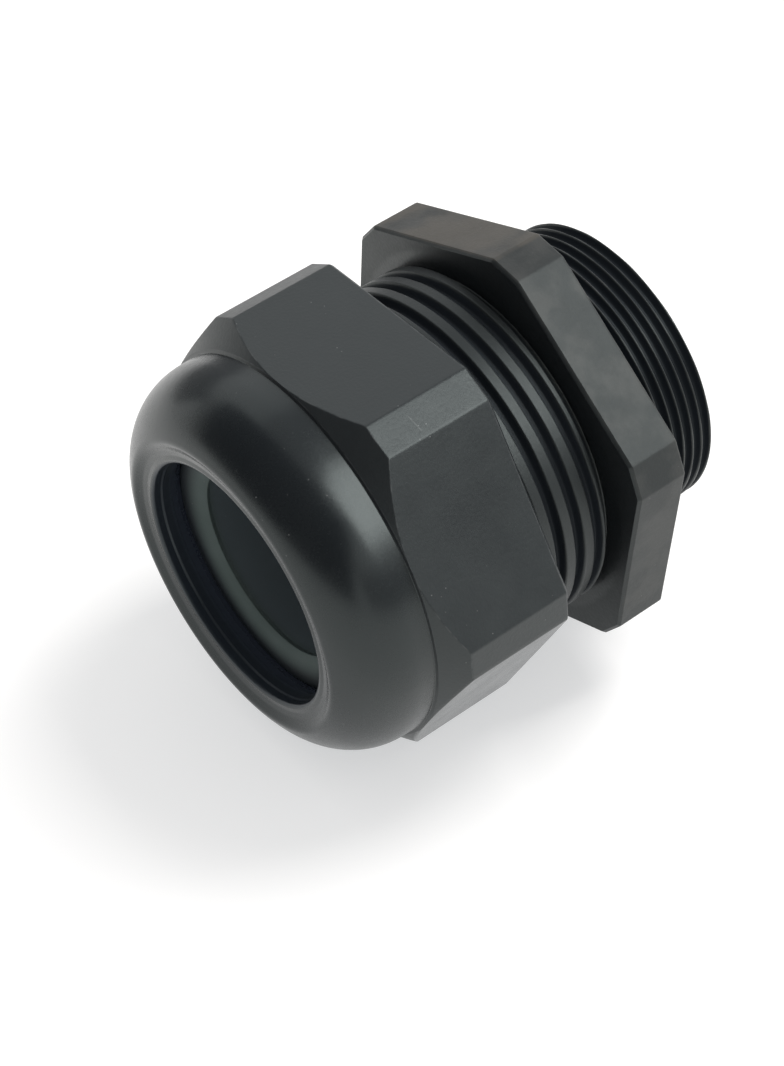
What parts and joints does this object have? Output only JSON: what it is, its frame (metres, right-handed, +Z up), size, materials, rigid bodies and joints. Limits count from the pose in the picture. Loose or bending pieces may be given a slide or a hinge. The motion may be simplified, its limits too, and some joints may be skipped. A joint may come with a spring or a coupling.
{
  "type": "cable gland",
  "caption": "Black plastic cable gland with a domed clamping nut, a hexagon flange, a threaded end and a soft sealing insert, lying on its side",
  "frame": {"origin": "centre of the flange's sealing face, on the gland's axis", "axes": "+Y runs along the gland towards the connection thread, almost level, because the gland lies on its nut and one flange corner; +Z up; +X to the right seen from the dome"},
  "size_m": [0.0596, 0.0651, 0.0603],
  "materials": {
    "housing": "satin black moulded polyamide",
    "clamping": "matt black polyamide",
    "seal": "soft dark grey chloroprene",
    "o_ring": "black nitrile rubber"
  },
  "bodies": {
    "root": {"entry_body": "housing", "clamping_cage": "clamping", "connection_o_ring": "o_ring"},
    "insert": {"sealing_insert": "seal"},
    "nut": {"dome_nut": "housing"},
    "finger_01": {"clamping_finger_01": "clamping"},
    "finger_02": {"clamping_finger_02": "clamping"},
    "finger_03": {"clamping_finger_03": "clamping"},
    "finger_04": {"clamping_finger_04": "clamping"},
    "finger_05": {"clamping_finger_05": "clamping"},
    "finger_06": {"clamping_finger_06": "clamping"},
    "finger_07": {"clamping_finger_07": "clamping"},
    "finger_08": {"clamping_finger_08": "clamping"},
    "finger_09": {"clamping_finger_09": "clamping"},
    "finger_10": {"clamping_finger_10": "clamping"},
    "finger_11": {"clamping_finger_11": "clamping"},
    "finger_12": {"clamping_finger_12": "clamping"},
    "finger_13": {"clamping_finger_13": "clamping"},
    "finger_14": {"clamping_finger_14": "clamping"},
    "finger_15": {"clamping_finger_15": "clamping"},
    "finger_16": {"clamping_finger_16": "clamping"}
  },
  "joints": [
    {"name": "nut_turn", "type": "hinge", "parent": "root", "child": "insert", "pos_m": [0, -0.0196, -0.00197], "axis": [0, 0.995, 0.1], "range_deg": [0, 774]},
    {"name": "nut_travel", "type": "slide", "parent": "insert", "child": "nut", "axis": [0, 0.995, 0.1], "range_m": [0, 0.00645], "deforming": ["sealing_insert"]},
    {"name": "finger_bend_01", "type": "hinge", "parent": "root", "child": "finger_01", "pos_m": [0.0185, -0.03065, -0.00308], "axis": [0, 0.1, -0.995], "range_deg": [0, 12]},
    {"name": "finger_bend_02", "type": "hinge", "parent": "root", "child": "finger_02", "pos_m": [0.01709, -0.02994, -0.01013], "axis": [-0.3827, 0.0924, -0.9192], "range_deg": [0, 12]},
    {"name": "finger_bend_03", "type": "hinge", "parent": "root", "child": "finger_03", "pos_m": [0.01308, -0.02934, -0.0161], "axis": [-0.7071, 0.0707, -0.7036], "range_deg": [0, 12]},
    {"name": "finger_bend_04", "type": "hinge", "parent": "root", "child": "finger_04", "pos_m": [0.00708, -0.02894, -0.02009], "axis": [-0.9239, 0.0383, -0.3808], "range_deg": [0, 12]},
    {"name": "finger_bend_05", "type": "hinge", "parent": "root", "child": "finger_05", "pos_m": [0, -0.0288, -0.02149], "axis": [-1, 0, 0], "range_deg": [0, 12]},
    {"name": "finger_bend_06", "type": "hinge", "parent": "root", "child": "finger_06", "pos_m": [-0.00708, -0.02894, -0.02009], "axis": [-0.9239, -0.0383, 0.3808], "range_deg": [0, 12]},
    {"name": "finger_bend_07", "type": "hinge", "parent": "root", "child": "finger_07", "pos_m": [-0.01308, -0.02934, -0.0161], "axis": [-0.7071, -0.0707, 0.7036], "range_deg": [0, 12]},
    {"name": "finger_bend_08", "type": "hinge", "parent": "root", "child": "finger_08", "pos_m": [-0.01709, -0.02994, -0.01013], "axis": [-0.3827, -0.0924, 0.9192], "range_deg": [0, 12]},
    {"name": "finger_bend_09", "type": "hinge", "parent": "root", "child": "finger_09", "pos_m": [-0.0185, -0.03065, -0.00308], "axis": [0, -0.1, 0.995], "range_deg": [0, 12]},
    {"name": "finger_bend_10", "type": "hinge", "parent": "root", "child": "finger_10", "pos_m": [-0.01709, -0.03135, 0.00396], "axis": [0.3827, -0.0924, 0.9192], "range_deg": [0, 12]},
    {"name": "finger_bend_11", "type": "hinge", "parent": "root", "child": "finger_11", "pos_m": [-0.01308, -0.03195, 0.00993], "axis": [0.7071, -0.0707, 0.7036], "range_deg": [0, 12]},
    {"name": "finger_bend_12", "type": "hinge", "parent": "root", "child": "finger_12", "pos_m": [-0.00708, -0.03236, 0.01393], "axis": [0.9239, -0.0383, 0.3808], "range_deg": [0, 12]},
    {"name": "finger_bend_13", "type": "hinge", "parent": "root", "child": "finger_13", "pos_m": [0, -0.0325, 0.01533], "axis": [1, 0, 0], "range_deg": [0, 12]},
    {"name": "finger_bend_14", "type": "hinge", "parent": "root", "child": "finger_14", "pos_m": [0.00708, -0.03236, 0.01393], "axis": [0.9239, 0.0383, -0.3808], "range_deg": [0, 12]},
    {"name": "finger_bend_15", "type": "hinge", "parent": "root", "child": "finger_15", "pos_m": [0.01308, -0.03195, 0.00993], "axis": [0.7071, 0.0707, -0.7036], "range_deg": [0, 12]},
    {"name": "finger_bend_16", "type": "hinge", "parent": "root", "child": "finger_16", "pos_m": [0.01709, -0.03135, 0.00396], "axis": [0.3827, 0.0924, -0.9192], "range_deg": [0, 12]}
  ],
  "couplings": [
    {"joint": "nut_turn", "follows": "nut_travel", "rad_per_m": 2094.4},
    {"joint": "finger_bend_01", "follows": "nut_travel", "rad_per_m": 32.47},
    {"joint": "finger_bend_02", "follows": "nut_travel", "rad_per_m": 32.47},
    {"joint": "finger_bend_03", "follows": "nut_travel", "rad_per_m": 32.47},
    {"joint": "finger_bend_04", "follows": "nut_travel", "rad_per_m": 32.47},
    {"joint": "finger_bend_05", "follows": "nut_travel", "rad_per_m": 32.47},
    {"joint": "finger_bend_06", "follows": "nut_travel", "rad_per_m": 32.47},
    {"joint": "finger_bend_07", "follows": "nut_travel", "rad_per_m": 32.47},
    {"joint": "finger_bend_08", "follows": "nut_travel", "rad_per_m": 32.47},
    {"joint": "finger_bend_09", "follows": "nut_travel", "rad_per_m": 32.47},
    {"joint": "finger_bend_10", "follows": "nut_travel", "rad_per_m": 32.47},
    {"joint": "finger_bend_11", "follows": "nut_travel", "rad_per_m": 32.47},
    {"joint": "finger_bend_12", "follows": "nut_travel", "rad_per_m": 32.47},
    {"joint": "finger_bend_13", "follows": "nut_travel", "rad_per_m": 32.47},
    {"joint": "finger_bend_14", "follows": "nut_travel", "rad_per_m": 32.47},
    {"joint": "finger_bend_15", "follows": "nut_travel", "rad_per_m": 32.47},
    {"joint": "finger_bend_16", "follows": "nut_travel", "rad_per_m": 32.47}
  ]
}
